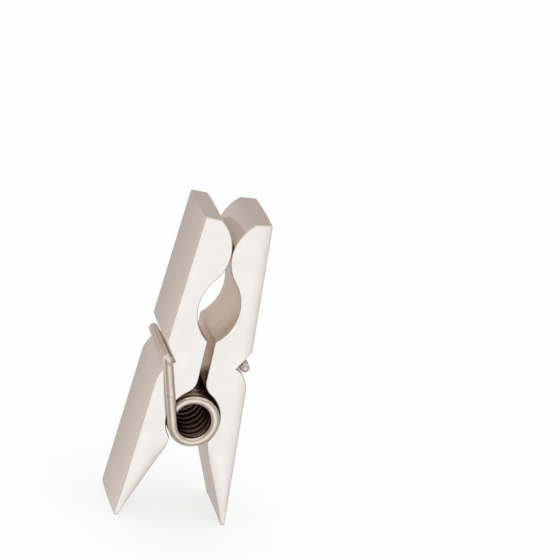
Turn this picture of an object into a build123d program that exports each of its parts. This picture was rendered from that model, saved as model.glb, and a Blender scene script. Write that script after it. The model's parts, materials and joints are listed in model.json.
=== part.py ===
from build123d import *
from math import asin, atan2, cos, floor, hypot, pi, radians, sin, sqrt, tan
import os

# Spring clothespin of two equal solid metal legs and one wound wire spring.
# Millimetres. +X right, +Y back, +Z up. The closed pin stands on its two handle
# tips, centred on the origin, and its jaws meet on the plane X = 0. The right leg
# and the back arm are the left leg and the front arm turned half round about Z.

# Driving sizes: the two overall sizes of a leg
leg_length = 76.0            # from the handle tip to the top, along the outer face
leg_depth = 18.0             # from the front face to the back face
leg_lean = 4.2               # degrees that an outer face leans in towards the jaws

# Leg outline, in the leg's own frame: u runs in from the flat outer face and
# w runs up along it
tip_radius = 0.6
taper_angle = 18.3           # degrees between the inner face of the handle and the outer face
taper_top = 17.5             # w where the flat taper ends
seat_foot = 21.9             # w of the corner under the coil seat
seat_head = 34.7             # w of the corner over the coil seat
neck_crown = 40.7            # w of the crown of the neck between the seat and the line hole
neck_swell = 1.1             # by which the leg is wider there than at the jaw
hole_drop = 20.5             # from the top down to the middle of the line hole
hole_lip = 8.6               # from that middle down to the corner under the hole
hole_radius = 10.4
jaw_radius = 10.2
jaw_crop = 1.7               # height that the flat top takes off the round jaw
jaw_inset = -1.5             # u of the centre of the round jaw
jaw_gap = 0.1                # left between the two jaws when the pin is shut
throat_round = 4.0           # on the corner over the coil seat, where the neck opens out
corner_round = 0.4           # on the other corners of the outline
edge_round = 0.3             # round the front face and the back face, less than on the corners

# Spring wire
wire_diameter = 2.3
coil_radius = 5.05           # to the middle of the wire
coil_height = 26.3           # Z of the coil's axis
seat_radius = 8.1            # a shallower curve than the coil's, so the leg rocks on it
hook_inset = 1.4             # u of the middle of the wire where it crosses the notch
hook_height = 40.9           # w of the same
hook_bend = 1.7              # bend radius of the wire, to its middle
hook_overhang = 0.4          # of the wire's end past the leg's far face
end_round = 0.9              # on the wire's cut ends

# Notch that holds the hook
notch_roof_angle = 38.5      # degrees between the long upper wall and the outer face
notch_floor_angle = 30.7     # degrees that the short lower wall falls away outwards

# Clearances
seat_clearance = 0.1         # between the coil and its seat
notch_clearance = 0.2        # between the hook and both walls of its notch
face_clearance = 0.1         # between an arm and the leg's face
root_clearance = 0.04        # between an arm and the end of the coil that it continues
turn_clearance = 0.12        # least gap between turns, which also keeps an arm off the turn beside it

# Heights of the upper leg follow its top, and its neck follows the width of its jaw
jaw_centre = leg_length - jaw_radius + jaw_crop
hole_centre = leg_length - hole_drop
hole_foot = hole_centre - hole_lip
neck_width = jaw_inset + jaw_radius + neck_swell

# The leg's frame: the tip round stands on Z = 0 and the round jaw just clears X = 0
lean = radians(leg_lean)
frame_x = -jaw_gap / 2 - jaw_radius - jaw_inset * cos(lean) - jaw_centre * sin(lean)
frame_z = tip_radius * (1 + sin(lean) - cos(lean))
leg_plane = Plane(origin=(frame_x, 0, frame_z), x_dir=(cos(lean), 0, -sin(lean)), z_dir=(0, -1, 0))

coil_outer_radius = coil_radius + wire_diameter / 2
arm_y = leg_depth / 2 + face_clearance + wire_diameter / 2


def leg_to_pin(u, w):
    """X and Z of a point that is given in the leg's frame."""
    return frame_x + u * cos(lean) + w * sin(lean), frame_z - u * sin(lean) + w * cos(lean)


def pin_to_leg(x, z):
    """The leg frame's u and w of a point that is given by X and Z."""
    dx, dz = x - frame_x, z - frame_z
    return dx * cos(lean) - dz * sin(lean), dx * sin(lean) + dz * cos(lean)


def left_of(centre, radius, w):
    """Point at height w on the near side of a circle that is open towards the other leg."""
    return centre[0] - sqrt(radius**2 - (w - centre[1]) ** 2), w


def notch_points():
    """Upper edge, bottom corner and lower edge of the notch that wraps the hook."""
    roof, ledge = radians(notch_roof_angle), radians(notch_floor_angle)
    to_roof = Vector(cos(roof), sin(roof))
    to_floor = Vector(sin(ledge), -cos(ledge))
    reach = (wire_diameter / 2 + notch_clearance) / (1 + to_roof.dot(to_floor))
    bottom = Vector(hook_inset, hook_height) + (to_roof + to_floor) * reach
    upper = (0, bottom.Y + bottom.X / tan(roof))
    lower = (0, bottom.Y - bottom.X / tan((pi / 2 - ledge) / 2))
    return upper, (bottom.X, bottom.Y), lower


def leg_outline():
    """Closed outline of the left leg, in the leg's frame."""
    notch_upper, notch_bottom, notch_lower = notch_points()
    ledge = radians(notch_floor_angle)

    jaw = (jaw_inset, jaw_centre)
    hole_reach = jaw_radius + hole_radius
    hole = (jaw_inset + sqrt(hole_reach**2 - (jaw_centre - hole_centre) ** 2), hole_centre)
    top_corner = (jaw_inset + sqrt(jaw_radius**2 - (leg_length - jaw_centre) ** 2), leg_length)
    jaw_to_hole = Vector(*jaw) + (Vector(*hole) - Vector(*jaw)) * (jaw_radius / hole_reach)
    jaw_end = (jaw_to_hole.X, jaw_to_hole.Y)

    seat_shift = seat_radius - coil_outer_radius - seat_clearance
    seat = pin_to_leg(seat_shift, coil_height)
    hole_corner = left_of(hole, hole_radius, hole_foot)
    seat_upper = left_of(seat, seat_radius, seat_head)
    seat_lower = left_of(seat, seat_radius, seat_foot)

    taper = radians(taper_angle)
    taper_foot = (tip_radius * (1 + cos(taper)), tip_radius * (1 - sin(taper)))
    taper_end = (taper_foot[0] + (taper_top - taper_foot[1]) * tan(taper), taper_top)

    with BuildLine() as outline:
        ThreePointArc((0, tip_radius), (tip_radius, 0), taper_foot)
        Line(taper_foot, taper_end)
        TangentArc(taper_end, seat_lower, tangent=(sin(taper), cos(taper)))
        ThreePointArc(seat_lower, left_of(seat, seat_radius, seat[1]), seat_upper)
        ThreePointArc(seat_upper, (neck_width, neck_crown), hole_corner)
        ThreePointArc(hole_corner, left_of(hole, hole_radius, hole_centre), jaw_end)
        ThreePointArc(jaw_end, (jaw_inset + jaw_radius, jaw_centre), top_corner)
        Polyline(top_corner, (0, leg_length), notch_upper, notch_bottom)
        TangentArc(notch_bottom, notch_lower, tangent=(-cos(ledge), -sin(ledge)))
        Line(notch_lower, (0, tip_radius))
    sharp_corners = [seat_lower, hole_corner, top_corner, (0, leg_length), notch_upper]
    rounds = [(seat_upper, throat_round)] + [(corner, corner_round) for corner in sharp_corners]
    return outline.line, rounds


def left_leg():
    """The solid leg, with its outline's corners and its two faces' edges eased."""
    outline, rounds = leg_outline()
    with BuildPart() as leg:
        with BuildSketch(leg_plane) as profile:
            with BuildLine():
                add(outline)
            make_face()
            for (u, w), radius in rounds:
                corner = min(profile.vertices(), key=lambda spot: hypot(spot.X - u, spot.Y - w))
                fillet(corner, radius)
        extrude(amount=leg_depth / 2, both=True)
        fillet(leg.faces().filter_by(Axis.Y).edges(), edge_round)
    return leg.part


def hook_place():
    """X and Z of the middle of the wire in the left leg's notch."""
    return leg_to_pin(hook_inset, hook_height)


def arm_lean():
    """Radians that the left arm leans outwards, from the coil's side to the hook."""
    x, z = hook_place()
    rise = z - coil_height
    return atan2(-x, rise) - asin(coil_radius / hypot(x, rise))


def coil_pitch():
    """Distance from one turn to the next, with as many whole turns as the wire leaves room for."""
    part_turn = (pi - 2 * arm_lean()) / (2 * pi)
    whole_turns = floor(2 * arm_y / (wire_diameter + turn_clearance) - part_turn)
    return 2 * arm_y / (whole_turns + part_turn)


def spring_coil():
    """The close-wound turns, from the front arm's root to the back arm's root."""
    root = arm_lean()
    start = Vector(-coil_radius * cos(root), 0, -coil_radius * sin(root))
    coil_plane = Plane(origin=(0, -arm_y, coil_height), x_dir=start.normalized(), z_dir=(0, 1, 0))
    path = Helix(coil_pitch(), 2 * arm_y, coil_radius, lefthand=True)
    section = Plane(origin=path @ 0, z_dir=path % 0) * Circle(wire_diameter / 2)
    return coil_plane * sweep(section, path=path, is_frenet=True)


def front_arm():
    """The wire from the coil's left side up the front face and back through the left notch."""
    root = arm_lean()
    x, z = hook_place()
    along = Vector(-sin(root), 0, cos(root))
    tangent_point = Vector(-coil_radius * cos(root), -arm_y, coil_height - coil_radius * sin(root))
    slope = coil_pitch() / (2 * pi * coil_radius)
    root_gap = root_clearance + slope * wire_diameter / 2
    bend = Vector(x, -arm_y, z)
    end = Vector(x, leg_depth / 2 + hook_overhang, z)
    path = FilletPolyline(tangent_point + along * root_gap, bend, end, radius=hook_bend)
    section = Plane(origin=path @ 0, z_dir=path % 0) * Circle(wire_diameter / 2)
    arm = sweep(section, path=path)
    return fillet(arm.edges().group_by(Axis.Y)[-1], end_round)


def half_turn(solid):
    """The same solid on the pin's other side."""
    return solid.rotate(Axis.Z, 180)


def write_parts():
    leg, arm = left_leg(), front_arm()
    nodes = {
        "left_leg": leg,
        "right_leg": half_turn(leg),
        "spring_coil": spring_coil(),
        "spring_front_arm": arm,
        "spring_back_arm": half_turn(arm),
    }
    os.makedirs("parts", exist_ok=True)
    for name, solid in nodes.items():
        export_step(solid, f"parts/{name}.step")


write_parts()
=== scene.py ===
import json
from math import asin, atan2, cos, hypot, pi, radians, sin, sqrt

import bpy
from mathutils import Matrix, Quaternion, Vector

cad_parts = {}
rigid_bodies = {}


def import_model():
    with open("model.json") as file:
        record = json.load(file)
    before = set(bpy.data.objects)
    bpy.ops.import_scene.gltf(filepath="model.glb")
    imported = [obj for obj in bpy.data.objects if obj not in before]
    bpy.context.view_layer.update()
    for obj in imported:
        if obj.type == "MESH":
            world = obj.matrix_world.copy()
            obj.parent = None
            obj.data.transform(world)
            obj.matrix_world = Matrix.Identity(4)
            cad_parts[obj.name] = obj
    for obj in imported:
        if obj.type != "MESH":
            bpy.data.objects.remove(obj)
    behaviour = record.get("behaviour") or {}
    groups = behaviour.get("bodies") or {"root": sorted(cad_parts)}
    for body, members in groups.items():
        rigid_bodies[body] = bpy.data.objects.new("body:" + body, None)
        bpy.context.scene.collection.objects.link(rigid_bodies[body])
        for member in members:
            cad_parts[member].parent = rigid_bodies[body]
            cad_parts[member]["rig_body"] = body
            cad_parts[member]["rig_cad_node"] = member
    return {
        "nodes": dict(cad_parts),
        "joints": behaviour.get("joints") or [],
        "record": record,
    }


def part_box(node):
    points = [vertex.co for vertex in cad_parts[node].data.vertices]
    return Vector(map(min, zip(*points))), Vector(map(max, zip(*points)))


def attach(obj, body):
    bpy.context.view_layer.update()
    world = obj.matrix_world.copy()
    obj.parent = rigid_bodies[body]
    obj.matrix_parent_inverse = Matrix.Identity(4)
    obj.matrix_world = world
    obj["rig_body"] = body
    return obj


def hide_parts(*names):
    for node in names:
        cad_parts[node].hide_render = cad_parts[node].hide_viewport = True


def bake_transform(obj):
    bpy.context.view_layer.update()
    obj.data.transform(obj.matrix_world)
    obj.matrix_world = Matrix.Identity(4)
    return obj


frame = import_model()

bpy.context.view_layer.update()
SCENE = bpy.context.scene
MM = 0.001

# Places and sizes that the frame gives
PIVOT = Vector(frame["joints"][0]["pos_m"])
LEG_LOW, LEG_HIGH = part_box("left_leg")
ARM_LOW, ARM_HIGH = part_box("spring_front_arm")
COIL_LOW, COIL_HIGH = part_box("spring_coil")
OUTER_FACE = next(m for m in frame["record"]["mounts"] if m["name"] == "left_outer_face")
FACE_POINT = Vector(OUTER_FACE["pos_m"])
INWARDS = -Vector(OUTER_FACE["axis"])

# The legs
TIP_RADIUS = 0.6 * MM
HANDLE_TAPER = radians(18.3)       # between a handle's inner face and its outer face
HANDLE_TOP = 20 * MM               # height at which a handle's inner edge stops falling away
HANDLE_CUTS_TOP = 24.1 * MM        # height up to which the cuts along that edge are made
RIM_ROUND = 0.28 * MM              # on the edges round the front and back faces
CROWN_WIDTH = 4.2 * MM             # strip along a straight edge in which a face falls away
CROWN_DROP = 0.32 * MM             # depth that a front or back face has lost at its edge
SIDE_DROP = 0.22 * MM              # by which an outer face is lower at its edges than along its middle
CROWN_CUTS = [0.6, 1.0, 1.5, 2.1, 2.8, 3.5, 4.2]   # mm in from the edge, where a face is divided
CUT_STEP = 2                       # mm between the cuts across the handle and across the depth

# The spring wire
WIRE_RADIUS = 1.15 * MM
HOOK_BEND = 1.7 * MM               # to the middle of the wire
END_ROUND = 0.8 * MM
WHOLE_TURNS = 8
EASE = radians(20)                 # of turn in which the coil takes up its pitch
ARC_STEP = radians(5)

# The tent round the pin, and the colours of its cloth
TENT_RADIUS = 1.5
OPENING = (1.0, 0.995, 0.985, 1)
PANEL = (0.90, 0.895, 0.885, 1)
SHADED_CLOTH = (0.49, 0.43, 0.39, 1)
SHADED_LOW_CLOTH = (0.55, 0.485, 0.45, 1)
LIT_CLOTH = (0.61, 0.54, 0.50, 1)
LIT_LOW_CLOTH = (0.72, 0.645, 0.605, 1)
RIGHT_CLOTH = (0.42, 0.395, 0.375, 1)
TABLE_CLOTH = (0.45, 0.39, 0.35, 1)

# The camera
CAMERA_PLACE = (-0.1508, -0.5160, 0.2557)
CAMERA_AZIMUTH, CAMERA_ELEVATION, CAMERA_ROLL = radians(-17.84), radians(19.86), radians(13.7)
LENS = 160.7


# Mesh tools ---------------------------------------------------------------------------

def only(made):
    """Makes one object the active and the only selected one."""
    if bpy.context.mode != "OBJECT":
        bpy.ops.object.mode_set(mode="OBJECT")
    bpy.ops.object.select_all(action="DESELECT")
    made.select_set(True)
    bpy.context.view_layer.objects.active = made


def copy_of_node(node_name, name):
    """A node's surface as a new object, its loose triangles joined, open in edit mode."""
    made = frame["nodes"][node_name].copy()
    made.data = made.data.copy()
    made.name = made.data.name = name
    made.parent = None
    del made["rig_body"], made["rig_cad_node"]
    SCENE.collection.objects.link(made)
    made.data.materials.clear()
    only(made)
    bpy.ops.mesh.customdata_custom_splitnormals_clear()
    bpy.ops.object.mode_set(mode="EDIT")
    bpy.ops.mesh.select_all(action="SELECT")
    bpy.ops.mesh.remove_doubles(threshold=0.002 * MM)
    return made


def cut(point, normal, keep_only_cut=False):
    """Cuts what is selected in edit mode by a plane, and selects everything again."""
    bpy.ops.mesh.bisect(
        plane_co=point,
        plane_no=normal,
        clear_inner=keep_only_cut,
        clear_outer=keep_only_cut,
    )
    bpy.ops.mesh.select_all(action="SELECT")


def select_below(made, height):
    """Selects the faces that lie below a height."""
    bpy.ops.mesh.select_mode(type="FACE")
    bpy.ops.mesh.select_all(action="DESELECT")
    bpy.ops.object.mode_set(mode="OBJECT")
    mesh = made.data
    for face in mesh.polygons:
        face.select = all(mesh.vertices[i].co.z < height for i in face.vertices)
    bpy.ops.object.mode_set(mode="EDIT")


def select_rim(made, y):
    """Selects the sharp edges round the flat face at one depth."""
    bpy.ops.mesh.select_mode(type="EDGE")
    bpy.ops.mesh.select_all(action="DESELECT")
    bpy.ops.object.mode_set(mode="OBJECT")
    mesh = made.data
    at_depth = [abs(vertex.co.y - y) < 0.001 * MM for vertex in mesh.vertices]
    on_wall = set()
    for face in mesh.polygons:
        if abs(face.normal.y) < 0.5:
            on_wall.update(face.edge_keys)
    for edge in mesh.edges:
        edge.select = edge.key in on_wall and all(at_depth[i] for i in edge.vertices)
    bpy.ops.object.mode_set(mode="EDIT")


# The legs -----------------------------------------------------------------------------

TIP = Vector((LEG_LOW.x + TIP_RADIUS, 0, TIP_RADIUS))
UPWARDS = Vector((-INWARDS.z, 0, INWARDS.x))
OUT_OF_HANDLE = INWARDS * cos(HANDLE_TAPER) - UPWARDS * sin(HANDLE_TAPER)


def inside_outer_face(point):
    """Distance of a point inwards from the outer face."""
    return (point - FACE_POINT).dot(INWARDS)


def inside_handle(point):
    """Distance of a point inwards from the tapered inner face of the handle."""
    return TIP_RADIUS - (point - TIP).dot(OUT_OF_HANDLE)


def fall(distance):
    """Share of the crown's drop at a distance in from an edge, steepest at the edge itself."""
    return (1 - min(max(distance / CROWN_WIDTH, 0), 1)) ** 3


def crown_faces(made):
    """Lets the faces fall away softly to the leg's outer edges and the handle's inner edges."""
    for vertex in made.data.vertices:
        outer = fall(inside_outer_face(vertex.co))
        on_handle = min(max((HANDLE_TOP - vertex.co.z) / CROWN_WIDTH, 0), 1)
        share = min(outer + fall(inside_handle(vertex.co)) * on_handle, 1)
        from_middle = vertex.co.y / LEG_HIGH.y
        vertex.co += INWARDS * SIDE_DROP * outer * from_middle**2
        vertex.co.y *= 1 - share * CROWN_DROP / LEG_HIGH.y


def mark_rims(made):
    """Marks the vertices on the eased edges, for the materials."""
    touched = [0.0] * len(made.data.vertices)
    for face in made.data.polygons:
        if 0.08 < abs(face.normal.y) < 0.93:
            for i in face.vertices:
                touched[i] = 1.0
    rim = made.data.attributes.new("rim", "FLOAT", "POINT")
    rim.data.foreach_set("value", touched)


def divide_for_crown(made):
    """Cuts the faces where they are going to be bent."""
    for height in range(CUT_STEP, 26, CUT_STEP):
        cut((0, 0, height * MM), (0, 0, 1))
    for depth in range(-8, 9, CUT_STEP):
        cut((0, depth * MM, 0), (0, 1, 0))
    for distance in CROWN_CUTS:
        cut(FACE_POINT + INWARDS * distance * MM, INWARDS)
        select_below(made, HANDLE_CUTS_TOP)
        cut(TIP + OUT_OF_HANDLE * (TIP_RADIUS - distance * MM), OUT_OF_HANDLE)


def left_leg():
    """The left leg: its outline taken from the frame, drawn out in depth, eased and crowned."""
    made = copy_of_node("left_leg", "left_leg_body")
    cut((0, 0, 0), (0, 1, 0), keep_only_cut=True)
    bpy.ops.mesh.dissolve_limited(angle_limit=radians(0.1))
    bpy.ops.mesh.select_all(action="SELECT")
    bpy.ops.mesh.edge_face_add()
    bpy.ops.transform.translate(value=(0, LEG_LOW.y, 0))
    bpy.ops.mesh.extrude_region_move(
        TRANSFORM_OT_translate={"value": (0, LEG_HIGH.y - LEG_LOW.y, 0)}
    )
    bpy.ops.mesh.select_all(action="SELECT")
    bpy.ops.mesh.normals_make_consistent(inside=False)
    for side in (LEG_LOW.y, LEG_HIGH.y):
        select_rim(made, side)
        bpy.ops.mesh.bevel(offset=RIM_ROUND, segments=4, clamp_overlap=False)
    bpy.ops.mesh.select_all(action="SELECT")
    divide_for_crown(made)
    bpy.ops.object.mode_set(mode="OBJECT")
    crown_faces(made)
    mark_rims(made)
    return made


def right_leg(left):
    """The right leg: the left one turned half round about the upright."""
    made = left.copy()
    made.data = left.data.copy()
    made.name = made.data.name = "right_leg_body"
    SCENE.collection.objects.link(made)
    only(made)
    bpy.ops.object.mode_set(mode="EDIT")
    bpy.ops.mesh.select_all(action="SELECT")
    bpy.ops.transform.rotate(value=pi, orient_axis="Z", center_override=(0, 0, 0))
    bpy.ops.object.mode_set(mode="OBJECT")
    return made


def smooth_by_area(made):
    """Smooth shading in which the large faces keep their own direction."""
    only(made)
    bpy.ops.object.shade_smooth()
    modifier = made.modifiers.new("weighted_normal", "WEIGHTED_NORMAL")
    modifier.mode = "FACE_AREA"
    modifier.weight = 60
    bpy.ops.object.modifier_apply(modifier=modifier.name)


def make_legs(metal):
    """Both legs, in place of their nodes."""
    left = left_leg()
    right = right_leg(left)
    for made, node_name in ((left, "left_leg"), (right, "right_leg")):
        smooth_by_area(made)
        made.data.materials.append(metal)
        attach(made, node_name)
        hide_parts(node_name)


# The spring ---------------------------------------------------------------------------

HOOK = Vector((ARM_LOW.x + WIRE_RADIUS, ARM_HIGH.y, ARM_HIGH.z - WIRE_RADIUS))
COIL_RADIUS = COIL_HIGH.x - WIRE_RADIUS
ARM_Y = ARM_LOW.y + WIRE_RADIUS
RISE = HOOK.z - PIVOT.z
ARM_LEAN = atan2(-HOOK.x, RISE) - asin(COIL_RADIUS / hypot(HOOK.x, RISE))
BACKWARDS = Vector((0, 1, 0))


def wire(name, points, end_shows):
    """Round wire along points, as a closed mesh, with its last end eased if it shows."""
    curve = bpy.data.curves.new(name, "CURVE")
    curve.dimensions = "3D"
    curve.bevel_depth = WIRE_RADIUS
    curve.bevel_resolution = 7
    curve.use_fill_caps = True
    spline = curve.splines.new("POLY")
    spline.points.add(len(points) - 1)
    for spot, point in zip(spline.points, points):
        spot.co = (*point, 1)
        if end_shows:
            short = max(END_ROUND - (points[-1] - point).length, 0)
            spot.radius = 1 - (END_ROUND - sqrt(END_ROUND**2 - short**2)) / WIRE_RADIUS
    made = bpy.data.objects.new(name, curve)
    SCENE.collection.objects.link(made)
    only(made)
    bpy.ops.object.convert(target="MESH")
    bpy.ops.object.shade_smooth_by_angle(angle=radians(40))
    return bpy.context.object


def coil_points():
    """Middle of the wire round the turns, which run flat where they meet the two arms."""
    sweep = 2 * pi * WHOLE_TURNS + pi - 2 * ARM_LEAN
    steps = round(sweep / ARC_STEP)
    points = []
    for step in range(steps + 1):
        turned = sweep * step / steps
        from_end = min(turned, sweep - turned)
        eased = from_end - EASE / 2 if from_end > EASE else from_end**2 / (2 * EASE)
        travel = eased if turned < sweep / 2 else sweep - EASE - eased
        angle = pi + ARM_LEAN + turned
        points.append(PIVOT + Vector((
            COIL_RADIUS * cos(angle),
            ARM_Y - 2 * ARM_Y * travel / (sweep - EASE),
            COIL_RADIUS * sin(angle),
        )))
    return points


def arm_points():
    """Middle of the wire up the front face, round the bend and back through the notch."""
    root = coil_points()[0]
    corner = Vector((HOOK.x, ARM_Y, HOOK.z))
    along = (corner - root).normalized()
    bend_start = corner - along * HOOK_BEND
    bend_centre = bend_start + BACKWARDS * HOOK_BEND
    points = [root, root.lerp(bend_start, 0.5)]
    bend_steps, end_steps = 12, 8
    for step in range(bend_steps + 1):
        angle = pi / 2 * step / bend_steps
        points.append(bend_centre - BACKWARDS * HOOK_BEND * cos(angle) + along * HOOK_BEND * sin(angle))
    for step in range(end_steps + 1):
        points.append(HOOK - BACKWARDS * END_ROUND * cos(pi / 2 * step / end_steps))
    return points


def half_turn(points):
    """The same points on the pin's other side."""
    return [Vector((-point.x, -point.y, point.z)) for point in points]


def make_spring(metal):
    """The coil, which turns at its back with the right leg, and the two arms, in place of their nodes."""
    coil = wire("coil_turns", coil_points(), False)
    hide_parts("spring_coil")
    coil.data.materials.append(metal)
    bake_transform(coil)
    arms = (
        ("front_arm_wire", arm_points(), "left_leg", "spring_front_arm"),
        ("back_arm_wire", half_turn(arm_points()), "right_leg", "spring_back_arm"),
    )
    for name, points, body, node_name in arms:
        arm = wire(name, points, True)
        arm.data.materials.append(metal)
        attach(arm, body)
        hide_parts(node_name)


# Shader nodes -------------------------------------------------------------------------

def set_input(tree, socket, value):
    """Links a socket to an input, or sets it to a plain value."""
    if isinstance(value, bpy.types.NodeSocket):
        tree.links.new(value, socket)
    else:
        socket.default_value = value


def node(tree, kind, values=(), **settings):
    """A shader node with its settings made, and its inputs set or linked."""
    made = tree.nodes.new("ShaderNode" + kind)
    for setting, value in settings.items():
        setattr(made, setting, value)
    for name, value in dict(values).items():
        set_input(tree, made.inputs[name], value)
    return made


def mixed(tree, share, first, second):
    """A colour between two, by a share from 0 to 1."""
    made = node(tree, "Mix", {0: share, 6: first, 7: second}, data_type="RGBA")
    return made.outputs[2]


def ranged(tree, value, low, high, to_low=0.0, to_high=1.0):
    """A value moved smoothly from one range to another."""
    made = node(tree, "MapRange", {
        "Value": value, "From Min": low, "From Max": high, "To Min": to_low, "To Max": to_high,
    }, interpolation_type="SMOOTHSTEP")
    return made.outputs["Result"]


def between(tree, angle, start, end):
    """Share that runs evenly from 0 to 1 as an angle goes from one place to another, in degrees."""
    made = node(tree, "MapRange", {
        "Value": angle, "From Min": radians(start), "From Max": radians(end),
    })
    return made.outputs["Result"]


def calc(tree, operation, first, second=0.0, third=0.0):
    """The result of one sum."""
    made = node(tree, "Math", {0: first, 1: second, 2: third}, operation=operation)
    return made.outputs[0]


def product(tree, *values):
    """Several values multiplied together."""
    total = values[0]
    for value in values[1:]:
        total = calc(tree, "MULTIPLY", total, value)
    return total


def stretched(tree, vector, scale):
    """A vector with each of its three parts scaled."""
    return node(tree, "VectorMath", {0: vector, 1: scale}, operation="MULTIPLY").outputs[0]


def noise(tree, vector, scale, detail, **more):
    """Cloudy noise from 0 to 1, with a scale in patches per metre."""
    values = {"Vector": vector, "Scale": scale, "Detail": detail, **more}
    return node(tree, "TexNoise", values).outputs["Fac"]


def effect(name, inputs, outputs):
    """An empty node group with named sockets: its tree, what comes in and what goes out."""
    tree = bpy.data.node_groups.new(name, "ShaderNodeTree")
    tree.interface.new_socket(name="Vector", in_out="INPUT", socket_type="NodeSocketVector")
    for label, value in inputs.items():
        socket = tree.interface.new_socket(name=label, in_out="INPUT", socket_type="NodeSocketFloat")
        socket.default_value = value
    for label in outputs:
        tree.interface.new_socket(name=label, in_out="OUTPUT", socket_type="NodeSocketFloat")
    return tree, tree.nodes.new("NodeGroupInput").outputs, tree.nodes.new("NodeGroupOutput").inputs


def placed(tree, effect_tree, **values):
    """An effect put into a material: its outputs. An underscore stands for a space in an input's name."""
    made = tree.nodes.new("ShaderNodeGroup")
    made.node_tree = effect_tree
    for name, value in values.items():
        set_input(tree, made.inputs[name.replace("_", " ")], value)
    return made.outputs


# Effects ------------------------------------------------------------------------------

def polishing_marks():
    """Fine marks that the polishing wheel leaves along the metal."""
    tree, given, result = effect("polishing_marks", {
        "Marks per Metre": 9000.0, "Length": 0.05,
    }, ("Height", "Dullness"))
    drawn_out = node(tree, "CombineXYZ", {"X": 1.0, "Y": 1.0, "Z": given["Length"]}).outputs[0]
    along = stretched(tree, given["Vector"], drawn_out)
    marks = noise(tree, along, given["Marks per Metre"], 3.0)
    patches = noise(tree, given["Vector"], 220.0, 2.0)
    tree.links.new(marks, result["Height"])
    tree.links.new(product(tree, marks, ranged(tree, patches, 0.35, 0.65)), result["Dullness"])
    return tree


def handling_film():
    """Soft cloudy patches that hands leave on bare metal."""
    tree, given, result = effect("handling_film", {
        "Patches per Metre": 90.0, "Cover": 0.5,
    }, ("Film",))
    cloud = noise(tree, given["Vector"], given["Patches per Metre"], 4.0, Roughness=0.55, Distortion=0.6)
    edge = calc(tree, "SUBTRACT", 0.9, given["Cover"])
    low, high = calc(tree, "SUBTRACT", edge, 0.15), calc(tree, "ADD", edge, 0.15)
    tree.links.new(ranged(tree, cloud, low, high), result["Film"])
    return tree


def tinted_edges():
    """Mask of the eased edges, broken up by noise, where the metal is given a warmer colour."""
    tree, given, result = effect("tinted_edges", {"Edge": 0.0, "Evenness": 0.6}, ("Tinted Edge",))
    broken = noise(tree, given["Vector"], 600.0, 3.0)
    patchy = ranged(tree, broken, 0.3, 0.7, given["Evenness"], 1.0)
    tree.links.new(product(tree, given["Edge"], patchy), result["Tinted Edge"])
    return tree


def painted_wall_shade():
    """Mask of the inner walls near the middle of the pin, which are coloured darker and warmer as painted
    shade and painted bounce light, and of painted reflection streaks on them.
    """
    tree, given, result = effect("painted_wall_shade", {
        "Half Width": 0.009, "Lean": 0.07, "Half Depth": 0.0087, "Foot": 0.03, "Head": 0.072,
        "Foot Fade": 0.004, "Head Fade": 0.006, "Marks per Metre": 900.0,
    }, ("Painted Wall Shade", "Marks"))
    place = node(tree, "SeparateXYZ", {"Vector": given["Vector"]}).outputs
    aside = calc(tree, "MULTIPLY_ADD", place["Z"], given["Lean"], calc(tree, "ABSOLUTE", place["X"]))
    near = calc(tree, "LESS_THAN", aside, given["Half Width"])
    deep = calc(tree, "LESS_THAN", calc(tree, "ABSOLUTE", place["Y"]), given["Half Depth"])
    above = ranged(tree, place["Z"], given["Foot"], calc(tree, "ADD", given["Foot"], given["Foot Fade"]))
    fade_start = calc(tree, "SUBTRACT", given["Head"], given["Head Fade"])
    below = ranged(tree, place["Z"], fade_start, given["Head"], 1.0, 0.0)
    wall = product(tree, near, deep, above, below)
    # Painted reflection: streaks drawn round the inner walls stand for the other leg's edge seen in them.
    round_wall = stretched(tree, given["Vector"], (0.04, 1.0, 0.04))
    lines = ranged(tree, noise(tree, round_wall, given["Marks per Metre"], 3.0), 0.54, 0.68)
    tree.links.new(wall, result["Painted Wall Shade"])
    tree.links.new(product(tree, wall, lines), result["Marks"])
    return tree


def painted_coil_shade():
    """Masks of the painted shade on the wire between the first and the last turn, where the inner turns
    lie in shade, and of the coil's bore, where the painted shade is darkest.
    """
    tree, given, result = effect("painted_coil_shade", {
        "Depth": 0.009, "Fade": 0.0012, "Top": 0.034, "Axis Height": 0.0263, "Bore Radius": 0.005,
    }, ("Painted Coil Shade", "Bore"))
    place = node(tree, "SeparateXYZ", {"Vector": given["Vector"]}).outputs
    uneven = product(tree, noise(tree, given["Vector"], 700.0, 3.0), given["Fade"])
    from_middle = calc(tree, "ADD", calc(tree, "ABSOLUTE", place["Y"]), uneven)
    start = calc(tree, "SUBTRACT", given["Depth"], given["Fade"])
    deep = ranged(tree, from_middle, start, given["Depth"], 1.0, 0.0)
    painted_turn_shade = product(tree, deep, calc(tree, "LESS_THAN", place["Z"], given["Top"]))
    rise = calc(tree, "SUBTRACT", place["Z"], given["Axis Height"])
    across = node(tree, "CombineXYZ", {"X": place["X"], "Z": rise}).outputs[0]
    from_axis = node(tree, "VectorMath", {0: across}, operation="LENGTH").outputs["Value"]
    bore = calc(tree, "LESS_THAN", from_axis, given["Bore Radius"])
    tree.links.new(painted_turn_shade, result["Painted Coil Shade"])
    tree.links.new(product(tree, painted_turn_shade, bore), result["Bore"])
    return tree


# Materials ----------------------------------------------------------------------------

def blank_metal(name, color, roughness):
    """A metal with its plain values set: the material, its tree, its shader and its coordinates."""
    made = bpy.data.materials.new(name)
    made.use_nodes = True
    tree = made.node_tree
    shader = tree.nodes["Principled BSDF"]
    shader.inputs["Base Color"].default_value = (*color, 1)
    shader.inputs["Roughness"].default_value = roughness
    shader.inputs["Metallic"].default_value = 1.0
    return made, tree, shader, node(tree, "TexCoord").outputs["Object"]


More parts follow.
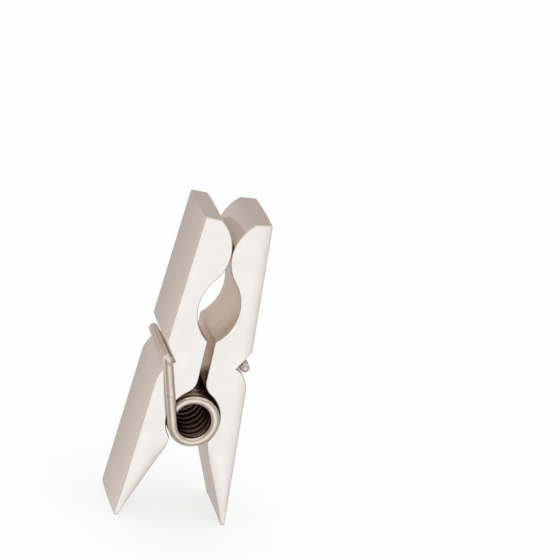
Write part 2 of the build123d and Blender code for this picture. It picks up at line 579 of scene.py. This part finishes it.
def finish_metal(tree, shader, color, rough, height, strength, distance):
    """Joins a colour, a roughness and a bump to a metal's shader."""
    tree.links.new(color, shader.inputs["Base Color"])
    tree.links.new(rough, shader.inputs["Roughness"])
    bump = node(tree, "Bump", {"Height": height, "Strength": strength, "Distance": distance})
    tree.links.new(bump.outputs["Normal"], shader.inputs["Normal"])


def polished_leg_metal(marks, film, edges, walls):
    """Pale silvery metal, polished, clouded a little by hands, and darker and warmer on the inner walls
    as painted shade and painted bounce light, with painted reflection streaks there.
    """
    made, tree, shader, place = blank_metal("polished_leg_metal", (0.905, 0.885, 0.85), 0.14)
    mark = placed(tree, marks, Vector=place, Marks_per_Metre=7000.0, Length=0.04)
    cloud = placed(tree, film, Vector=place, Patches_per_Metre=110.0, Cover=0.45)
    rim = node(tree, "Attribute", attribute_name="rim").outputs["Fac"]
    edge_tint = placed(tree, edges, Vector=place, Edge=rim, Evenness=0.5)
    half_width = -(CROWN_WIDTH + FACE_POINT.dot(INWARDS)) / INWARDS.x
    inner = placed(tree, walls, Vector=place, Half_Width=half_width, Lean=-INWARDS.z / INWARDS.x)

    outside = mixed(tree, cloud["Film"], (0.925, 0.90, 0.87, 1), (0.905, 0.875, 0.84, 1))
    # Painted shade on the inner walls: a darker, warmer colour, streaked with painted reflections of the
    # other leg's edge.
    inside = mixed(tree, inner["Marks"], (0.87, 0.78, 0.69, 1), (0.80, 0.70, 0.61, 1))
    color = mixed(tree, inner["Painted Wall Shade"], outside, inside)
    # The eased edges are given a warmer colour, broken up by noise.
    color = mixed(tree, edge_tint["Tinted Edge"], color, (0.90, 0.82, 0.74, 1))
    rough = calc(tree, "MULTIPLY_ADD", mark["Dullness"], 0.1, 0.09)
    rough = calc(tree, "MULTIPLY_ADD", cloud["Film"], 0.05, rough)
    rough = calc(tree, "MULTIPLY_ADD", inner["Painted Wall Shade"], 0.08, rough)
    finish_metal(tree, shader, color, rough, mark["Height"], 0.08, 0.02 * MM)
    return made


def bright_spring_wire(marks, film, dark):
    """Drawn and plated spring wire, bright on its outer turns and arms, with painted shade in dark brown
    deep in the coil.
    """
    made, tree, shader, place = blank_metal("bright_spring_wire", (0.84, 0.77, 0.69), 0.2)
    mark = placed(tree, marks, Vector=place, Marks_per_Metre=5000.0, Length=0.15)
    cloud = placed(tree, film, Vector=place, Patches_per_Metre=260.0, Cover=0.4)
    deep = placed(tree, dark, Vector=place, Depth=0.0099, Fade=0.0008, Top=COIL_HIGH.z + MM,
                  Axis_Height=PIVOT.z, Bore_Radius=COIL_RADIUS)

    bright = mixed(tree, cloud["Film"], (0.85, 0.78, 0.70, 1), (0.76, 0.68, 0.60, 1))
    # Painted shade: the coil's inner turns, which lie in shade between the legs, are coloured dark brown,
    # darker still in the bore.
    brown = mixed(tree, mark["Dullness"], (0.42, 0.31, 0.245, 1), (0.24, 0.17, 0.13, 1))
    brown = mixed(tree, deep["Bore"], brown, (0.15, 0.105, 0.08, 1))
    color = mixed(tree, deep["Painted Coil Shade"], bright, brown)
    rough = ranged(tree, deep["Painted Coil Shade"], 0.0, 1.0, 0.15, 0.32)
    rough = calc(tree, "MULTIPLY_ADD", mark["Dullness"], 0.12, rough)
    finish_metal(tree, shader, color, rough, mark["Height"], 0.12, 0.03 * MM)
    return made


# The stage ----------------------------------------------------------------------------

def tan_cloth(tree, turn, height):
    """The tent's cloth: lighter low down, lit on the left behind the pin, and greyer on the right."""
    lit = product(tree, between(tree, turn, -165, -153), between(tree, turn, -110, -140))
    high = mixed(tree, lit, SHADED_CLOTH, LIT_CLOTH)
    low = mixed(tree, lit, SHADED_LOW_CLOTH, LIT_LOW_CLOTH)
    cloth = mixed(tree, between(tree, height, -11, -23), high, low)
    return cloth, mixed(tree, between(tree, turn, 60, 110), RIGHT_CLOTH, cloth)


def tent_cloth():
    """Glow of the tent: a white opening low in front, pale panels aside and overhead, and tan cloth."""
    made = bpy.data.materials.new("tent_cloth")
    made.use_nodes = True
    tree = made.node_tree
    tree.nodes.remove(tree.nodes["Principled BSDF"])
    place = node(tree, "SeparateXYZ", {"Vector": node(tree, "TexCoord").outputs["Object"]}).outputs
    turn = calc(tree, "ARCTAN2", place["X"], calc(tree, "MULTIPLY", place["Y"], -1.0))
    height = calc(tree, "ARCSINE", calc(tree, "DIVIDE", place["Z"], TENT_RADIUS))

    cloth, right_cloth = tan_cloth(tree, turn, height)
    glow = mixed(tree, between(tree, turn, 19, 74), OPENING, right_cloth)
    glow = mixed(tree, between(tree, turn, -8, -38), glow, cloth)
    glow = mixed(tree, between(tree, height, 6, 34), glow, cloth)
    glow = mixed(tree, between(tree, height, -26, -48), glow, TABLE_CLOTH)
    aside = calc(tree, "ABSOLUTE", turn)
    side_panels = product(tree, between(tree, aside, 92, 106), between(tree, aside, 148, 134))
    panels = calc(tree, "MAXIMUM", side_panels, between(tree, height, 36, 58))
    light = node(tree, "Emission", {"Color": mixed(tree, panels, glow, PANEL)})
    tree.links.new(light.outputs["Emission"], tree.nodes["Material Output"].inputs["Surface"])
    return made


def make_tent():
    """A round tent of cloth that shows only in the metal, as a product table has round it."""
    bpy.ops.object.select_all(action="DESELECT")
    bpy.ops.mesh.primitive_uv_sphere_add(segments=96, ring_count=48, radius=TENT_RADIUS)
    tent = bpy.context.object
    tent.name = tent.data.name = "tan_tent"
    tent.data.materials.append(tent_cloth())
    tent.visible_camera = False
    tent.visible_diffuse = False
    tent.visible_shadow = False
    tent.visible_transmission = False


def white_paper():
    """Matt white paper, lit up in part where it is seen, so that its shadows stay faint."""
    made = bpy.data.materials.new("white_paper")
    made.use_nodes = True
    tree = made.node_tree
    shader = tree.nodes["Principled BSDF"]
    shader.inputs["Base Color"].default_value = (0.98, 0.98, 0.98, 1)
    shader.inputs["Roughness"].default_value = 1.0
    shader.inputs["Specular IOR Level"].default_value = 0.0
    ray = node(tree, "LightPath").outputs
    mirrored = calc(tree, "MAXIMUM", ray["Is Glossy Ray"], ray["Is Transmission Ray"])
    seen = calc(tree, "MAXIMUM", ray["Is Camera Ray"], mirrored)
    share = calc(tree, "MULTIPLY", seen, 0.72)
    glow = node(tree, "Emission")
    mix = node(tree, "MixShader", {0: share, 1: shader.outputs[0], 2: glow.outputs[0]})
    tree.links.new(mix.outputs[0], tree.nodes["Material Output"].inputs["Surface"])
    return made


def make_floor():
    """A wide white floor, which does not show in the metal."""
    bpy.ops.object.select_all(action="DESELECT")
    bpy.ops.mesh.primitive_plane_add(size=8, location=(0, 0, 0))
    floor = bpy.context.object
    floor.name = "studio_floor"
    floor.data.materials.append(white_paper())
    floor.visible_glossy = False


def make_stage():
    """An even white light, a white floor, and the tent that the polished faces pick up."""
    world = bpy.data.worlds.new("studio")
    SCENE.world = world
    world.use_nodes = True
    world.node_tree.nodes["Background"].inputs["Color"].default_value = (1, 1, 1, 1)
    make_floor()
    make_tent()


def place_camera():
    """A long lens, above and to the left in front, with the pin leaning across the frame."""
    towards = Vector((
        sin(CAMERA_AZIMUTH) * cos(CAMERA_ELEVATION),
        -cos(CAMERA_AZIMUTH) * cos(CAMERA_ELEVATION),
        sin(CAMERA_ELEVATION),
    ))
    data = bpy.data.cameras.new("camera")
    data.lens = LENS
    data.clip_end = 20
    camera = bpy.data.objects.new("camera", data)
    camera.location = CAMERA_PLACE
    turn = (-towards).to_track_quat("-Z", "Y") @ Quaternion((0, 0, 1), CAMERA_ROLL)
    camera.rotation_euler = turn.to_euler()
    SCENE.collection.objects.link(camera)
    SCENE.camera = camera


SCENE.view_settings.view_transform = "Standard"
place_camera()
make_stage()
marks, film = polishing_marks(), handling_film()
make_legs(polished_leg_metal(marks, film, tinted_edges(), painted_wall_shade()))
make_spring(bright_spring_wire(marks, film, painted_coil_shade()))
